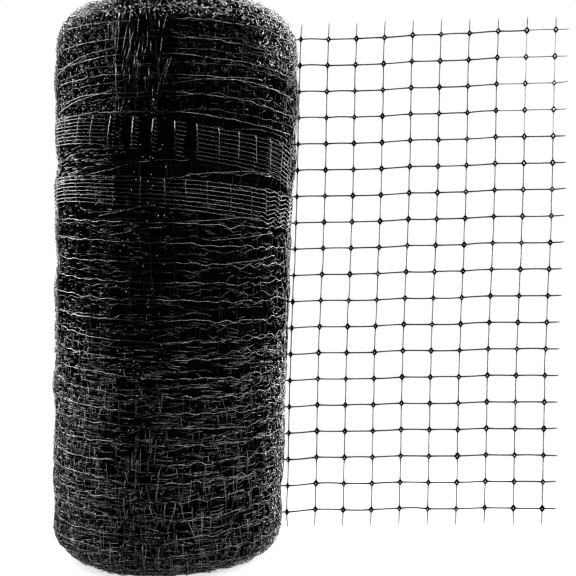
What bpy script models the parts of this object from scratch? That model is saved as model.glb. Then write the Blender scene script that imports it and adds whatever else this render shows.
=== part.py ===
"""Bird netting roll: black plastic mesh wound into an upright roll, with its loose end drawn out to one side.

Metres, +Z up. The origin is the middle of the flat spot that the roll stands on. The loose end leaves the
roll's back on the right-hand side and runs towards +X as a flat, upright net.
"""
import math

import bmesh
import bpy

MM = 0.001

# ---- the wound roll ----
ROLL_HEIGHT = 371 * MM
ROLL_RADIUS = 78.6 * MM  # at half its height, under the outermost turn
ROLL_TAPER = 0.0157  # radius gained for each unit of height: the roll is wound looser at its top
ROLL_LEAN = 0.0194  # how far its middle line moves to +X for each unit of height
LAYER_STEP = 1.6 * MM  # the outermost turn's thickness, lost evenly over one turn round the roll
STEP_ANGLE = math.radians(30)  # where that turn starts, just past the end of the loose net
STEP_WIDTH = math.radians(0.8)  # how wide the step's own face is, round the roll
AROUND = 48  # columns of points round the roll

FOOT_RADIUS = 58 * MM  # the flat spot it stands on
FOOT_ROUND = 27 * MM  # height of the rounded lower end
FOOT_POWER = 2.9  # the higher, the squarer the rounded end
CROWN_RADIUS = 55 * MM  # where the rounded upper end meets the top
CROWN_ROUND = 28 * MM
CROWN_POWER = 3.3
CROWN_TILT = 0.025  # the upper end rises this much to +X for each unit of width
CROWN_TILT_FROM = 0.8  # of the height
CROWN_SPIRAL_PITCH = 18 * MM  # the turns that show on the top
CROWN_SPIRAL_DEPTH = 2.4 * MM
CROWN_EYE_RADIUS = 9 * MM  # the small dimple that the first turn leaves
CROWN_EYE_DEPTH = 5 * MM
CROWN_RINGS = 12
END_RINGS = 6  # rings of points in each rounded end
BODY_RINGS = 34

# Bands round the roll where the folded mesh is packed tighter or slacker than elsewhere.
# columns: height of the band's middle, half its width, how far it stands out
BANDS = (
    (0.330, 0.016, 0.6 * MM),
    (0.289, 0.012, -1.3 * MM),
    (0.268, 0.008, -1.9 * MM),
    (0.246, 0.014, 0.9 * MM),
    (0.196, 0.020, -0.9 * MM),
    (0.150, 0.022, 0.7 * MM),
    (0.098, 0.018, -0.6 * MM),
    (0.055, 0.016, 0.6 * MM),
)
# Slack ridges of mesh that climb round the roll as it was wound.
# columns: whole waves round the roll, waves over its height, depth, phase in turns
RIDGES = (
    (2, 1.5, 0.9 * MM, 0.10),
    (3, 4.0, 0.6 * MM, 0.45),
    (5, -7.0, 0.5 * MM, 0.80),
    (1, 11.0, 0.5 * MM, 0.25),
)
CALM_FROM = math.radians(2)  # the ridges die out where the loose end lies on the roll
CALM_TO = math.radians(34)
CALM_BLEND = math.radians(22)

# ---- the loose end ----
ROW_COUNT = 19
FREE_COLUMNS = 10  # upright strands that stand clear of the roll
WRAPPED_COLUMNS = 1  # upright strands that still lie on the roll's back
ROW_PITCH = 18.44 * MM
COLUMN_PITCH = 19.66 * MM
LOWEST_ROW = 25.4 * MM  # height of the lowest level strand at the first free upright strand
ROW_CLIMB = 0.0241  # the rows rise this much for each unit of width
COLUMN_LEAN = 0.0311  # the uprights lean to +X this much for each unit of height
SHEET_YAW = math.radians(4.1)  # the free net turns this much towards -Y
SHEET_OFFSET = 17.8 * MM  # from the roll's middle line to the free net's plane
BEND_RADIUS = 20 * MM  # where the net peels off the roll
FIRST_UPRIGHT = -9.9 * MM  # along the net, from the end of that bend
SHEET_THICKNESS = 1.0 * MM
STRAND_HALF_WIDTH = 0.45 * MM
KNOT_HALF_WIDTH = 1.25 * MM
KNOT_RISE = 0.45 * MM
SEAT_GAP = 0.3 * MM  # between the net and the roll
CUT_TOP = 370 * MM  # the height that the uprights' cut upper ends reach
BOTTOM_STUB = 11 * MM  # cut ends past the outermost strands
FREE_STUB = 9 * MM
WRAPPED_STUB = 5 * MM
SWAY = 0.5 * MM  # the uprights' slow wave
SWAY_LENGTH = 210 * MM
BEND_PIECES = 3  # straight pieces of a level strand where the net is curved
# How far each upright strand sets its knots above their row, in mm, from the wrapped one to the last free one.
KNOT_STEPS = (0.3, -0.3, 0.1, -0.3, -0.35, 0.45, 0.0, -0.1, 0.6, 0.15, -0.2)

PLASTIC = (0.011, 0.011, 0.012, 1.0)
PLASTIC_ROUGHNESS = 0.38


def clear_scene():
    for thing in list(bpy.data.objects):
        bpy.data.objects.remove(thing, do_unlink=True)


def plastic(name):
    """A black Principled material of its own for one node."""
    material = bpy.data.materials.new(name)
    material.use_nodes = True
    shader = material.node_tree.nodes["Principled BSDF"]
    shader.inputs["Base Color"].default_value = PLASTIC
    shader.inputs["Roughness"].default_value = PLASTIC_ROUGHNESS
    shader.inputs["Metallic"].default_value = 0.0
    return material


def object_from(bm, name):
    """Turn a finished bmesh into a named, smooth-shaded object with its own material."""
    bmesh.ops.recalc_face_normals(bm, faces=bm.faces)
    mesh = bpy.data.meshes.new(name)
    bm.to_mesh(mesh)
    bm.free()
    mesh.materials.append(plastic(name + "_plastic"))
    mesh.shade_smooth()
    mesh.set_sharp_from_angle(angle=math.radians(40))
    thing = bpy.data.objects.new(name, mesh)
    bpy.context.scene.collection.objects.link(thing)
    return thing


def smooth_step(x):
    x = min(1.0, max(0.0, x))
    return x * x * (3 - 2 * x)


# ---- the roll's form ----
def plain_radius(z):
    """The roll's radius without its rounded ends and without relief."""
    return ROLL_RADIUS + ROLL_TAPER * (z - ROLL_HEIGHT / 2)


def end_rounding(z):
    """How far the rounded ends draw the side in at this height."""
    inset = 0.0
    if z < FOOT_ROUND:
        share = (FOOT_ROUND - z) / FOOT_ROUND
        inset = (plain_radius(z) - FOOT_RADIUS) * share**FOOT_POWER
    if z > ROLL_HEIGHT - CROWN_ROUND:
        share = (z - ROLL_HEIGHT + CROWN_ROUND) / CROWN_ROUND
        inset = (plain_radius(z) - CROWN_RADIUS) * share**CROWN_POWER
    return inset


def calm(angle):
    """0 where the loose end lies on the roll, 1 elsewhere."""
    middle = (CALM_FROM + CALM_TO) / 2
    half = (CALM_TO - CALM_FROM) / 2
    away = abs((angle - middle + math.pi) % math.tau - math.pi)
    return smooth_step((away - half) / CALM_BLEND)


def relief(angle, z):
    """Bands and climbing ridges of the wound mesh, which fade towards both ends."""
    out = sum(depth * math.exp(-(((z - height) / half) ** 2)) for height, half, depth in BANDS)
    for around, along, depth, phase in RIDGES:
        out += depth * math.sin(around * angle + math.tau * (along * z / ROLL_HEIGHT + phase))
    ends = smooth_step(z / FOOT_ROUND) * smooth_step((ROLL_HEIGHT - z) / CROWN_ROUND)
    return out * ends * calm(angle)


def side_point(angle, turn, z):
    """A point of the roll's side: turn goes from 0 to 1 once round the outermost layer."""
    ends = smooth_step(z / FOOT_ROUND) * smooth_step((ROLL_HEIGHT - z) / CROWN_ROUND)
    radius = plain_radius(z) - end_rounding(z) + relief(angle, z)
    radius += LAYER_STEP * (1 - turn) * ends
    return tilted(ROLL_LEAN * z, radius * math.cos(angle), radius * math.sin(angle), z)


def tilted(middle, x, y, z):
    """A point at x, y from the roll's middle line, raised towards +X near the upper end."""
    share = smooth_step((z / ROLL_HEIGHT - CROWN_TILT_FROM) / (1 - CROWN_TILT_FROM))
    return (middle + x, y, z + CROWN_TILT * x * share)


def crown_point(angle, turn, radius):
    """A point of the top, with the low spiral of the turns' edges and the eye in its middle."""
    edge = smooth_step((CROWN_RADIUS - radius) / (CROWN_SPIRAL_PITCH / 2))
    wave = 0.5 - 0.5 * math.cos(math.tau * (radius / CROWN_SPIRAL_PITCH + turn))
    inner = smooth_step(radius / CROWN_EYE_RADIUS)
    z = ROLL_HEIGHT - CROWN_SPIRAL_DEPTH * wave * edge * inner
    z -= CROWN_EYE_DEPTH * (1 - inner)
    return tilted(ROLL_LEAN * ROLL_HEIGHT, radius * math.cos(angle), radius * math.sin(angle), z)


def ring_heights():
    """Heights of the side's rings, closer together in the rounded ends."""
    low = [FOOT_ROUND * (1 - math.cos(0.5 * math.pi * k / END_RINGS)) for k in range(END_RINGS)]
    top = [ROLL_HEIGHT - CROWN_ROUND * (1 - math.cos(0.5 * math.pi * k / END_RINGS)) for k in range(END_RINGS)]
    span = ROLL_HEIGHT - FOOT_ROUND - CROWN_ROUND
    body = [FOOT_ROUND + span * k / (BODY_RINGS - 1) for k in range(BODY_RINGS)]
    return low + body + top[::-1]


def make_roll():
    """The wound form as one closed solid: flat foot, rounded ends, stepped side and spiral top."""
    turns = [k / (AROUND - 1) for k in range(AROUND)]
    angles = [STEP_ANGLE + turn * (math.tau - STEP_WIDTH) for turn in turns]
    places = [[side_point(a, t, z) for a, t in zip(angles, turns)] for z in ring_heights()]
    for k in range(1, CROWN_RINGS):
        radius = CROWN_RADIUS * (1 - k / CROWN_RINGS)
        places.append([crown_point(a, t, radius) for a, t in zip(angles, turns)])

    bm = bmesh.new()
    rings = [[bm.verts.new(place) for place in ring] for ring in places]
    for lower, upper in zip(rings, rings[1:]):
        for k in range(AROUND):
            after = (k + 1) % AROUND
            bm.faces.new((lower[k], lower[after], upper[after], upper[k]))
    bm.faces.new(reversed(rings[0]))
    eye = bm.verts.new(crown_point(0, 0, 0))
    for k in range(AROUND):
        bm.faces.new((eye, rings[-1][k], rings[-1][(k + 1) % AROUND]))
    return object_from(bm, "roll")


# ---- the loose end's form ----
def net_point(along, z, out):
    """A point of the loose end: distance along it from its bend, height, and height above its middle face.

    Before the bend the net lies on the roll's back, with the seat gap between them.
    """
    radius = plain_radius(z) + LAYER_STEP * STEP_ANGLE / math.tau + SEAT_GAP + SHEET_THICKNESS / 2
    reach = radius + BEND_RADIUS
    leave = math.asin((SHEET_OFFSET + BEND_RADIUS) / reach)
    bend = math.pi / 2 - leave
    if along >= 0:
        x, y, facing = reach * math.cos(leave) + along, SHEET_OFFSET, math.pi / 2
    elif along > -BEND_RADIUS * bend:
        turned = -along / BEND_RADIUS
        x = reach * math.cos(leave) - BEND_RADIUS * math.sin(turned)
        y = SHEET_OFFSET + BEND_RADIUS * (1 - math.cos(turned))
        facing = math.pi / 2 - turned
    else:
        facing = leave + (-along - BEND_RADIUS * bend) / radius
        x, y = radius * math.cos(facing), radius * math.sin(facing)
    x += out * math.cos(facing)
    y += out * math.sin(facing)
    c, s = math.cos(SHEET_YAW), math.sin(SHEET_YAW)
    return (ROLL_LEAN * z + x * c + y * s, y * c - x * s, z)


def edge_lean():
    """How far the bend itself moves to +X for each unit of height, from the roll's lean and taper."""
    reach = ROLL_RADIUS + BEND_RADIUS
    across = math.sqrt(reach**2 - (SHEET_OFFSET + BEND_RADIUS) ** 2)
    return ROLL_LEAN + ROLL_TAPER * reach / across


def knot_place(column, row):
    """Distance along the net and height of one knot. Columns below 0 lie on the roll; row 0 is the lowest."""
    z = LOWEST_ROW + row * ROW_PITCH + ROW_CLIMB * column * COLUMN_PITCH
    z += KNOT_STEPS[column + WRAPPED_COLUMNS] * MM
    along = FIRST_UPRIGHT + column * COLUMN_PITCH
    along += (COLUMN_LEAN - edge_lean()) * (z - ROLL_HEIGHT / 2)
    along += SWAY * math.sin(math.tau * (z - ROLL_HEIGHT / 2) / SWAY_LENGTH)
    return along, z


class Net:
    """Flat faces of the net in its own two directions, thickened into one closed body at the end."""

    def __init__(self):
        self.places = []
        self.faces = []
        self.knots = []

    def point(self, along, z):
        self.places.append((along, z))
        return len(self.places) - 1

    def knot(self, column, row):
        """An eight-sided knot; returns the pairs of points that strands join, by direction."""
        along, z = knot_place(column, row)
        k, w = KNOT_HALF_WIDTH, STRAND_HALF_WIDTH
        outline = ((k, -w), (k, w), (w, k), (-w, k), (-k, w), (-k, -w), (-w, -k), (w, -k))
        ring = [self.point(along + a, z + b) for a, b in outline]
        self.knots.append((ring, along, z, column))
        return {
            "right": (ring[0], ring[1]),
            "up": (ring[2], ring[3]),
            "left": (ring[4], ring[5]),
            "down": (ring[6], ring[7]),
        }

    def strand(self, start, end, pieces):
        """A strand from one knot's side to the facing side of the next, in straight pieces."""
        before = start
        for k in range(1, pieces):
            share = k / pieces
            pair = []
            for a, b in ((start[0], end[1]), (start[1], end[0])):
                pair.append(self.point(*(p + (q - p) * share for p, q in zip(self.places[a], self.places[b]))))
            self.faces.append((before[0], pair[0], pair[1], before[1]))
            before = tuple(pair)
        self.faces.append((before[0], end[1], end[0], before[1]))

    def stub(self, start, along, up):
        """A cut strand's short end."""
        ends = [self.point(self.places[p][0] + along, self.places[p][1] + up) for p in start]
        self.faces.append((start[0], ends[0], ends[1], start[1]))

    def thicken(self, bm):
        """Both faces, the knots' raised middles, and a wall along every edge with a face on one side only."""
        half = SHEET_THICKNESS / 2
        front = [bm.verts.new(net_point(a, z, half)) for a, z in self.places]
        back = [bm.verts.new(net_point(a, z, -half)) for a, z in self.places]
        for ring, along, z, column in self.knots:
            middle = bm.verts.new(net_point(along, z, half + KNOT_RISE))
            for a, b in zip(ring, ring[1:] + ring[:1]):
                bm.faces.new((middle, front[a], front[b]))
            if column < 0:
                bm.faces.new([back[p] for p in reversed(ring)])
                continue
            middle = bm.verts.new(net_point(along, z, -half - KNOT_RISE))
            for a, b in zip(ring, ring[1:] + ring[:1]):
                bm.faces.new((middle, back[b], back[a]))
        for face in self.faces:
            bm.faces.new([front[p] for p in face])
            bm.faces.new([back[p] for p in reversed(face)])
        rims = [tuple(ring) for ring, *_ in self.knots] + self.faces
        used = {}
        for face in rims:
            for a, b in zip(face, face[1:] + face[:1]):
                used[(a, b)] = True
        for a, b in used:
            if (b, a) not in used:
                bm.faces.new((front[b], front[a], back[a], back[b]))


def make_loose_end():
    """The net as one closed sheet, with every mesh opening cut through."""
    net = Net()
    columns = range(-WRAPPED_COLUMNS, FREE_COLUMNS)
    sides = {(c, r): net.knot(c, r) for c in columns for r in range(ROW_COUNT)}
    for (column, row), side in sides.items():
        right = sides.get((column + 1, row))
        above = sides.get((column, row + 1))
        if right:
            net.strand(side["right"], right["left"], BEND_PIECES if column < 0 else 1)
        else:
            net.stub(side["right"], FREE_STUB, 0)
        if above:
            net.strand(side["up"], above["down"], 1)
        else:
            net.stub(side["up"], 0, CUT_TOP - net.places[side["up"][0]][1])
        if row == 0:
            net.stub(side["down"], 0, -BOTTOM_STUB)
        if column == -WRAPPED_COLUMNS:
            net.stub(side["left"], -WRAPPED_STUB, 0)
    bm = bmesh.new()
    net.thicken(bm)
    return object_from(bm, "loose_end")


clear_scene()
make_roll()
make_loose_end()
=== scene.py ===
"""Bird netting roll, dressed: the strands of its outer turns, its bands, its tangled ends and its loose end.

Metres, +Z up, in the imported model's frame. The roll's own surface is read from the frame. Every wound strand
is placed on it by its angle round the roll, its distance along the outline from the middle of the foot to the
middle of the crown, and its depth under the surface. Angle 0 is +X and the front is at -90. Degrees in the
tables and ranges are counted from the front, going right.
"""
import math

import bpy
import numpy as np
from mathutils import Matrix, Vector
from mathutils.bvhtree import BVHTree
from numpy.random import default_rng


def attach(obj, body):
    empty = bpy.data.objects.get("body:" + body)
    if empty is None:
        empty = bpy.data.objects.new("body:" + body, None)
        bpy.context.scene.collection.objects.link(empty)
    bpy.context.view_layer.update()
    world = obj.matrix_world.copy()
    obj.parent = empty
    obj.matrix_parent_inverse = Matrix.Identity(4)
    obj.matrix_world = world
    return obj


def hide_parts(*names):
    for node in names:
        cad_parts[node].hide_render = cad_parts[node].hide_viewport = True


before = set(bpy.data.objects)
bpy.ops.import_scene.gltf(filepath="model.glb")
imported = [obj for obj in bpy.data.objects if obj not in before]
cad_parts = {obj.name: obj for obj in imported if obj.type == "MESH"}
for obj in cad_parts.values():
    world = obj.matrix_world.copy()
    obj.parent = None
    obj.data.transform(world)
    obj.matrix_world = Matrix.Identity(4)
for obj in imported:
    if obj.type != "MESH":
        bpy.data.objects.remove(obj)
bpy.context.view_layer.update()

MM = 0.001
PI, TAU = math.pi, math.tau
FRONT = -PI / 2

# ---- the camera, as fitted to the net's knots, in metres
CAMERA_PLACE = (0.08274, -0.594, 0.1823)
CAMERA_VIEW = math.radians(37.2)

# ---- the roll, as in the part's source
ROLL_HEIGHT = 371 * MM
ROLL_LEAN = 0.0194
ROLL_RADIUS = 80 * MM  # about, to turn distances round the roll into angles

# ---- the rays that find its surface
RAY_ANGLES = 240
RAY_FAN = 60 * MM  # how far from each end the rays start to fan out
FAN_RAYS = 70
SIDE_RAYS = 130

# ---- where the outer turns stand a little proud
SWELLS = (
    # middle and half width, degrees; from, to in height, mm; size, mm
    (84, 40, 50, 275, 1.3),
    (88, 36, 262, 326, 2.0),
    (70, 60, 4, 34, 2.4),
    (-84, 30, 62, 190, 1.0),
    (-75, 60, 4, 50, -0.9),
    (-84, 30, 207, 234, -1.2),
    (-84, 30, 235, 262, -1.1),
    (-84, 30, 268, 290, -0.8),
)
SWELL_SOFT = 15  # over how many mm of height a swell starts and ends


def ease(x):
    x = np.clip(x, 0.0, 1.0)
    return x * x * (3 - 2 * x)


def within(x, low, high, soft, lead=0.0):
    """1 between low and high and 0 outside, going from one to the other over a length of soft."""
    return ease((x - low) / soft + lead) * ease((high - x) / soft + lead)


def zigzag(turns):
    """A sharp wave from -1 to 1, once in each turn."""
    return 2 * np.abs(turns % 1 * 2 - 1) - 1


def unit(v):
    return v / np.maximum(np.linalg.norm(v, axis=-1, keepdims=True), 1e-12)


def from_front(angle):
    """Degrees round from the front, going right."""
    return np.degrees((angle - FRONT + PI) % TAU - PI)


class Surface:
    """The roll's surface, sampled by rays from its middle line."""

    def __init__(self, node):
        mesh = node.data
        tree = BVHTree.FromPolygons([v.co for v in mesh.vertices], [p.vertices for p in mesh.polygons])
        quarter = np.linspace(0, PI / 2, FAN_RAYS)
        side = np.linspace(RAY_FAN, ROLL_HEIGHT - RAY_FAN, SIDE_RAYS)[1:-1]
        starts = np.pad(side, FAN_RAYS, mode="edge")
        climbs = np.concatenate([quarter - PI / 2, np.zeros(len(side)), quarter])
        angles = np.arange(RAY_ANGLES) * TAU / RAY_ANGLES
        flat, turn = np.cos(climbs), angles[:, None]
        ways = np.broadcast_arrays(flat * np.cos(turn), flat * np.sin(turn), np.sin(climbs))
        self.out = np.stack(ways, axis=-1)
        self.place = np.empty_like(self.out)
        for i in range(RAY_ANGLES):
            for j, z in enumerate(starts):
                hit = tree.ray_cast(Vector((ROLL_LEAN * z, 0, z)), Vector(self.out[i, j]))
                self.place[i, j] = hit[0]
        steps = np.linalg.norm(np.diff(self.place, axis=1), axis=-1).mean(axis=0)
        self.along = np.append(0, np.cumsum(steps))
        self.length = self.along[-1]
        self.height = self.place[..., 2].mean(axis=0)
        middle = self.place[..., :2].mean(axis=0)
        self.radius = np.linalg.norm(self.place[..., :2] - middle, axis=-1).mean(axis=0)

    def at(self, angle, along, depth):
        """Points of the roll, and the directions out of it there."""
        angle, along, depth = np.broadcast_arrays(angle, along, depth)
        depth = depth - self.swell(angle, along)
        a = (angle / TAU * RAY_ANGLES) % RAY_ANGLES
        m = np.clip(np.interp(along, self.along, np.arange(len(self.along))), 0, len(self.along) - 1.001)
        i, j = a.astype(int), m.astype(int)
        i %= RAY_ANGLES
        after = (i + 1) % RAY_ANGLES
        a, m = (a - np.floor(a))[..., None], (m - j)[..., None]

        def between(field):
            low = field[i, j] * (1 - m) + field[i, j + 1] * m
            high = field[after, j] * (1 - m) + field[after, j + 1] * m
            return low * (1 - a) + high * a

        out = unit(between(self.out))
        return between(self.place) - out * depth[..., None], out

    def swell(self, angle, along):
        """How far the outer turns stand proud."""
        turned, height = from_front(angle), np.interp(along, self.along, self.height)
        total = 0.0
        for middle, wide, low, high, size in SWELLS:
            share = ease(1 - np.abs(turned - middle) / wide)
            total = total + size * MM * share * within(height / MM, low, high, SWELL_SOFT, 0.5)
        return total

    def along_at(self, height):
        """Distance along the outline of a height on the side."""
        return np.interp(height, self.height, self.along)

    def radius_at(self, along):
        return np.interp(along, self.along, self.radius)


roll = Surface(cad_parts["roll"])
SIDE_LOW = roll.along_at(30 * MM)
SIDE_HIGH = roll.along_at(340 * MM)


class Waves:
    """A smooth uneven field over the roll: sines that close up once round it."""

    def __init__(self, rng, count, around, along, size, least=0):
        self.around = rng.integers(least, around + 1, count) * rng.choice([-1, 1], count)
        self.along = rng.uniform(-along, along, count) * TAU
        self.phase = rng.uniform(0, TAU, count)
        self.size = size * math.sqrt(2 / count)

    def __call__(self, angle, along):
        angle, along = np.broadcast_arrays(angle, along)
        waves = np.sin(angle[..., None] * self.around + along[..., None] * self.along + self.phase)
        return self.size * waves.sum(axis=-1)


def put(name, data):
    thing = bpy.data.objects.new(name, data)
    bpy.context.scene.collection.objects.link(thing)
    return thing


# ---- meshes made of strands
OVAL = 0.6  # a wound strand's depth as a share of its width


class Strands:
    """Collects thin tubes and knots, then turns them into one mesh."""

    def __init__(self):
        self.points = []
        self.faces = {}
        self.count = 0

    def add(self, points, faces):
        for corners in faces:
            size = corners.shape[-1]
            self.faces.setdefault(size, []).append(corners.reshape(-1, size) + self.count)
        self.points.append(points.reshape(-1, 3))
        self.count += self.points[-1].shape[0]

    def tubes(self, line, out, width, depth, sides, closed=False, twist=0.0, ends=(True, True)):
        """Tubes along lines of points (lines, points, 3): width lies across the roll, depth goes into it."""
        if closed:
            tangent = unit(np.roll(line, -1, axis=1) - np.roll(line, 1, axis=1))
        else:
            tangent = unit(np.gradient(line, axis=1))
        across = unit(np.cross(tangent, out))
        up = np.cross(across, tangent)
        lines, steps = line.shape[:2]
        width, depth = (np.broadcast_to(size, (lines, steps))[..., None, None] / 2 for size in (width, depth))
        turn = np.arange(sides) * TAU / sides + np.broadcast_to(twist, (lines, steps))[..., None]
        cosine, sine = np.cos(turn)[..., None], np.sin(turn)[..., None]
        points = line[:, :, None] + across[:, :, None] * cosine * width + up[:, :, None] * sine * depth
        index = np.arange(lines * steps * sides).reshape(lines, steps, sides)
        following = np.roll(index, -1, axis=1) if closed else index[:, 1:]
        before = index if closed else index[:, :-1]
        faces = [np.stack([before, np.roll(before, -1, 2), np.roll(following, -1, 2), following], axis=-1)]
        if not closed and ends[0]:
            faces.append(index[:, 0, ::-1])
        if not closed and ends[1]:
            faces.append(index[:, -1])
        self.add(points, faces)

    def wind(self, rng, angle, along, depth, width, sides=3, oval=OVAL, turning=0.6, closed=False):
        """Tubes laid on the roll, with oval sections that turn unevenly along them."""
        line, out = roll.at(*np.atleast_2d(angle, along, depth))
        lines, steps = line.shape[:2]
        twist = rng.uniform(0, TAU, (lines, 1)) + np.cumsum(rng.normal(0, turning, (lines, steps)), axis=1)
        self.tubes(line, out, width, width * oval, sides, closed, twist)

    def knots(self, place, out, width, length, height):
        """Small eight-faced upright knots at places (n, 3)."""
        side = unit(np.cross(out, (0.0, 0.0, 1.0)))
        up = np.cross(side, out)
        sizes = (side, width), (up, length), (-side, width), (-up, length), (out, height), (-out, height)
        points = np.stack([place + way * size / 2 for way, size in sizes], axis=1)
        index = np.arange(len(place) * 6).reshape(-1, 6)
        ring = ((0, 1), (1, 2), (2, 3), (3, 0))
        faces = [index[:, (a, b, 4)] for a, b in ring] + [index[:, (b, a, 5)] for a, b in ring]
        self.add(points, faces)

    def build(self, name, plastic, slot="netting"):
        points = np.concatenate(self.points)
        points[:, 2] = np.maximum(points[:, 2], 0.0)
        mesh = bpy.data.meshes.new(name)
        corners = [np.concatenate(group) for group in self.faces.values()]
        sizes = np.concatenate([np.full(len(group), group.shape[1]) for group in corners])
        order = np.concatenate([group.ravel() for group in corners])
        mesh.vertices.add(len(points))
        mesh.vertices.foreach_set("co", points.ravel().astype(np.float32))
        mesh.loops.add(len(order))
        mesh.loops.foreach_set("vertex_index", order.astype(np.int32))
        mesh.polygons.add(len(sizes))
        mesh.polygons.foreach_set("loop_start", (np.cumsum(sizes) - sizes).astype(np.int32))
        mesh.update(calc_edges=True)
        mesh.shade_smooth()
        mesh.materials.append(bpy.data.materials[plastic])
        piece = put(name, mesh)
        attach(piece, "root")
        return piece


# ---- materials
class Look:
    """A new material's nodes. Each of their inputs is given as a value or as the socket that feeds it."""

    def __init__(self, name):
        material = bpy.data.materials.new(name)
        material.use_nodes = True
        self.tree = material.node_tree
        self.shader = self.tree.nodes["Principled BSDF"]

    def feed(self, node, inputs):
        for key, value in inputs.items():
            if isinstance(value, bpy.types.NodeSocket):
                self.tree.links.new(value, node.inputs[key])
            else:
                node.inputs[key].default_value = value

    def add(self, kind, output, inputs=None, **settings):
        """Add a node and return one of its outputs."""
        node = self.tree.nodes.new(kind)
        for key, value in settings.items():
            setattr(node, key, value)
        self.feed(node, inputs or {})
        return node.outputs[output]

    def ramp(self, factor, colours, marks=(0.0, 1.0)):
        node = self.tree.nodes.new("ShaderNodeValToRGB")
        for stop, mark, colour in zip(node.color_ramp.elements, marks, colours):
            stop.position, stop.color = mark, (*colour, 1.0)
        self.feed(node, {"Fac": factor})
        return node.outputs["Color"]

    def remap(self, value, low, high, to_low, to_high):
        inputs = {"Value": value, "From Min": low, "From Max": high, "To Min": to_low, "To Max": to_high}
        return self.add("ShaderNodeMapRange", "Result", inputs)

    def bump(self, height, strength, distance):
        inputs = {"Height": height, "Strength": strength, "Distance": distance}
        return self.add("ShaderNodeBump", "Normal", inputs)


def netting_plastic(name, dark, light, ior, gloss, rough_low, rough_high, ripple):
    """Extruded black plastic: a little different from strand to strand, with drawn marks, paler in places;
    where a plastic's light colour is pale, as on the foot and crown, that paleness is painted light.
    """
    look = Look(name)
    place = look.add("ShaderNodeTexCoord", "Object")
    island = look.add("ShaderNodeNewGeometry", "Random Per Island")

    def noise(**inputs):
        return look.add("ShaderNodeTexNoise", "Fac", {"Vector": place, **inputs})

    # random patches, from strand to strand, mix the dark and the light colour: dust, and painted light where
    # the light colour is pale
    dust_and_painted_light = noise(Scale=90.0, Detail=4.0)
    mixed = look.add("ShaderNodeMath", 0, {0: dust_and_painted_light, 1: island}, operation="MULTIPLY")
    worn = noise(Scale=55.0, Detail=5.0, Roughness=0.65)
    inputs = {
        "Base Color": look.ramp(mixed, (dark, light), (0.10, 0.55)),
        "Roughness": look.remap(worn, 0.35, 0.65, rough_low, rough_high),
        "IOR": ior,
        "Specular IOR Level": gloss,
        "Normal": look.bump(noise(Scale=420.0, Detail=3.0), ripple, 0.1 * MM),
    }
    look.feed(look.shader, inputs)


def packed_turns(name):
    """The turns too deep to tell apart: black, with the relief of crossing strands, and a touch darker between
    the ridges as painted shade.
    """
    look = Look(name)
    place = look.add("ShaderNodeTexCoord", "Object")
    height = None
    for turn, scale, stretch in ((0.06, 95.0, 3.2), (-0.11, 120.0, 2.4), (1.5, 80.0, 3.0)):
        inputs = {"Vector": place, "Rotation": (turn, turn * 0.7, 0.0), "Scale": (1.0, 1.0, stretch)}
        inputs = {"Vector": look.add("ShaderNodeMapping", "Vector", inputs), "Scale": scale}
        cells = look.add("ShaderNodeTexVoronoi", "Distance", inputs, feature="DISTANCE_TO_EDGE")
        ridge = look.remap(cells, 0.0, 0.12, 1.0, 0.0)
        both = {0: height, 1: ridge}
        height = look.add("ShaderNodeMath", 0, both, operation="MAXIMUM") if height else ridge
    inputs = {
        # darker in the grooves than on the ridges: painted shade
        "Base Color": look.ramp(height, ((0.0005,) * 3, (0.002,) * 3)),
        "Roughness": 0.75,
        "Specular IOR Level": 0.0,
        "Normal": look.bump(height, 1.0, 1.2 * MM),
    }
    look.feed(look.shader, inputs)


BLACK = (0.0008,) * 3, (0.0025,) * 3
PAINTED_LIGHT_GREYS = (0.013,) * 3, (0.15,) * 3  # pale greys near the foot and on the crown: painted light, as the floor and the lamps behind throw on them, varied at random from strand to strand
PLASTICS = (
    # name; dark and light colour; IOR; specular level; least and greatest roughness; strength of the bump
    ("foot_strands", *PAINTED_LIGHT_GREYS, 1.5, 0.5, 0.3, 0.6, 0.4),
    # the next four are one black plastic with its gloss stepped down for strands lying deeper or under others:
    # painted shade
    ("outer_strands", *BLACK, 1.75, 0.85, 0.1, 0.32, 0.5),
    ("middle_strands", *BLACK, 1.6, 0.65, 0.12, 0.38, 0.5),
    ("faint_strands", *BLACK, 1.5, 0.1, 0.2, 0.55, 0.5),
    ("deep_strands", *BLACK, 1.45, 0.0, 0.35, 0.65, 0.35),
    ("crown_strands", *PAINTED_LIGHT_GREYS, 2.3, 1.0, 0.1, 0.3, 0.5),
    ("band_strands", *BLACK, 1.75, 0.9, 0.12, 0.36, 0.5),
    # the loose end's upper right corner: pale plastic, painted sheen
    ("loose_end_corner_painted_sheen", (0.07,) * 3, (0.13,) * 3, 1.5, 0.1, 0.15, 0.35, 0.25),
    # pale plastic for the knots' faces: painted highlights
    ("knot_painted_highlights", (0.14,) * 3, (0.3,) * 3, 1.5, 0.5, 0.12, 0.3, 0.15),
    ("loose_end_strands", *BLACK, 1.45, 0.15, 0.12, 0.3, 0.25),
)
for values in PLASTICS:
    netting_plastic(*values)


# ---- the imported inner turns
INNER_AROUND = 180
INNER_ALONG = 150
INNER_DEPTH = 1.9 * MM
INNER_CROWN_DEPTH = 3.5 * MM
INNER_FOOT_DEPTH = 1.6 * MM


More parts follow.
